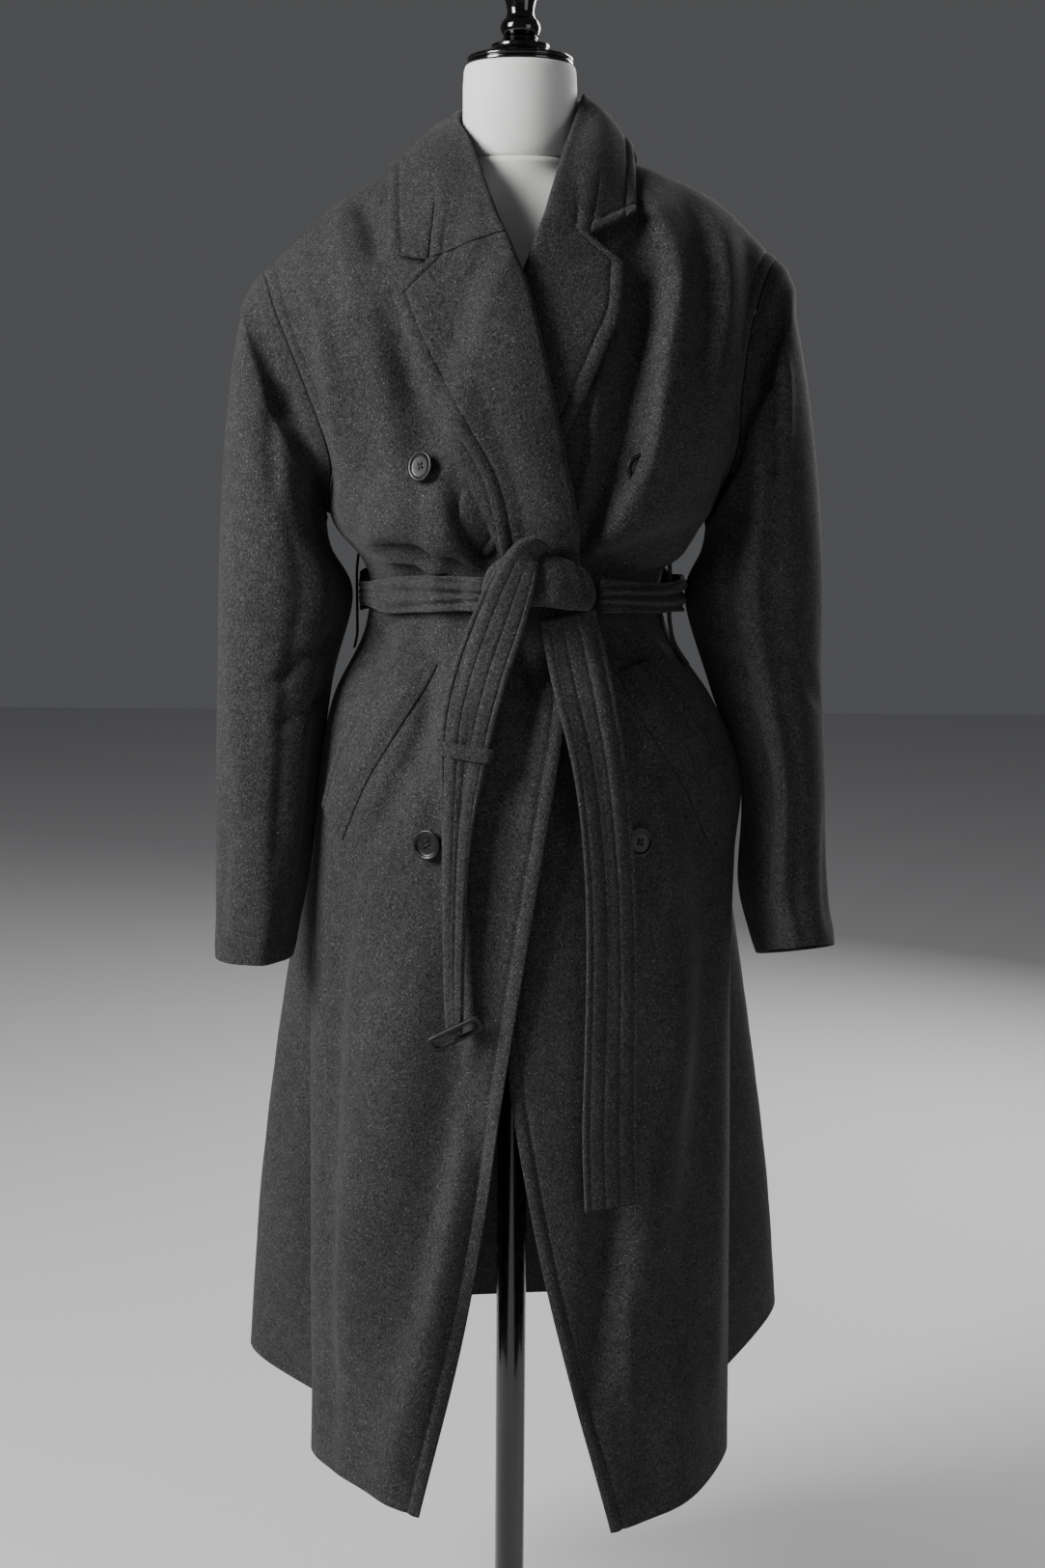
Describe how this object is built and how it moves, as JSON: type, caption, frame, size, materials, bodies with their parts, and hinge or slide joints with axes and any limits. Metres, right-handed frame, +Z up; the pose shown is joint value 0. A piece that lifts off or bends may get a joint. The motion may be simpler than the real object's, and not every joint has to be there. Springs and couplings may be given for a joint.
{
  "type": "belted trench coat on a dress form",
  "caption": "Double-breasted wool trench coat with a notched collar, its long belt tied in front, worn by a limbless dress form on a pole stand.",
  "frame": {"origin": "middle of the flat underside of the stand's base, on the axis of the pole", "axes": "+Z up the pole, -Y towards the coat's front, +X towards the wearer's left"},
  "size_m": [0.6201, 0.4283, 1.795],
  "materials": {
    "wool": "dark charcoal melange woollen coating with a short nap",
    "button": "glossy near-black with a raised rim",
    "buckle": "dark satin gloss",
    "form": "smooth white covering, satin",
    "chrome": "polished",
    "black_metal": "gloss black enamel"
  },
  "bodies": {
    "root": {"front_right": "wool", "front_left": "wool", "back": "wool", "lapel_right": "wool", "lapel_left": "wool", "collar": "wool", "sleeve_right": "wool", "sleeve_left": "wool", "belt_band": "wool", "belt_knot": "wool", "belt_tail_buckle": "wool", "belt_tail_free": "wool", "belt_keeper": "wool", "welt_right": "wool", "welt_left": "wool", "belt_loop_right": "wool", "belt_loop_left": "wool", "buckle": "buckle", "button_top_right": "button", "button_top_left": "button", "button_low_right": "button", "button_low_left": "button", "form_torso": "form", "form_neck": "form", "neck_cap": "chrome", "finial": "chrome", "pole": "black_metal", "base": "black_metal"}
  },
  "joints": []
}
